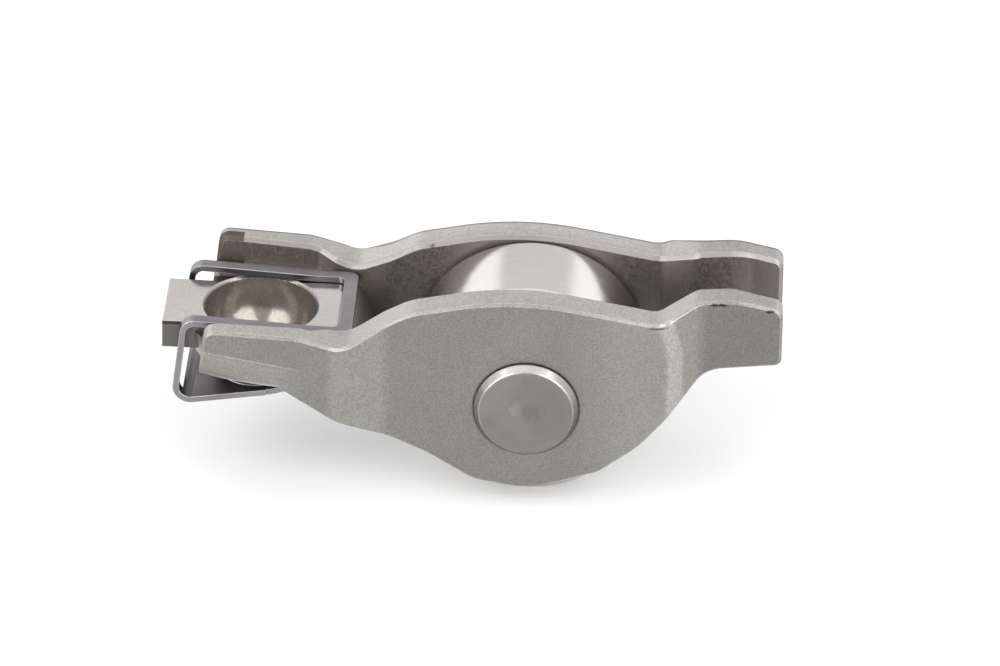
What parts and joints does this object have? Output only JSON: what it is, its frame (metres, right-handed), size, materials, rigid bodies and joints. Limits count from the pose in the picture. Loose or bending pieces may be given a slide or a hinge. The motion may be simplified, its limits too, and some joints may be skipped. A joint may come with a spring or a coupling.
{
  "type": "roller follower rocker arm",
  "caption": "Stamped steel valve-train rocker arm: a ball socket with a retaining clip, a cam roller on needle rollers and an axle pin, and a slotted pallet for the valve stem.",
  "frame": {"origin": "centre of the ball socket's sphere", "axes": "+X along the arm from the ball socket to the valve end, +Y along the roller's axis, +Z out of the socket's mouth"},
  "size_m": [0.0496, 0.0168, 0.0189],
  "materials": {
    "arm_steel": "matt grey blasted and tumbled steel",
    "pin_steel": "turned steel with a bright chamfer",
    "roller_steel": "ground and polished",
    "clip_steel": "bluish spring steel",
    "needle_steel": "ground"
  },
  "bodies": {
    "arm": {"arm_body": "arm_steel", "axle_pin": "pin_steel", "retaining_clip": "clip_steel"},
    "roller": {"cam_roller": "roller_steel"},
    "needles": {"needle_01": "needle_steel", "needle_02": "needle_steel", "needle_03": "needle_steel", "needle_04": "needle_steel", "needle_05": "needle_steel", "needle_06": "needle_steel", "needle_07": "needle_steel", "needle_08": "needle_steel", "needle_09": "needle_steel", "needle_10": "needle_steel", "needle_11": "needle_steel", "needle_12": "needle_steel", "needle_13": "needle_steel", "needle_14": "needle_steel", "needle_15": "needle_steel", "needle_16": "needle_steel", "needle_17": "needle_steel", "needle_18": "needle_steel", "needle_19": "needle_steel"}
  },
  "joints": [
    {"name": "roller_spin", "type": "hinge", "parent": "arm", "child": "roller", "pos_m": [0.0216, 0, -0.0045], "axis": [0, 1, 0], "continuous": true},
    {"name": "needle_orbit", "type": "hinge", "parent": "arm", "child": "needles", "pos_m": [0.0216, 0, -0.0045], "axis": [0, 1, 0], "continuous": true}
  ],
  "couplings": [
    {"joint": "needle_orbit", "follows": "roller_spin", "ratio": 0.5817}
  ]
}
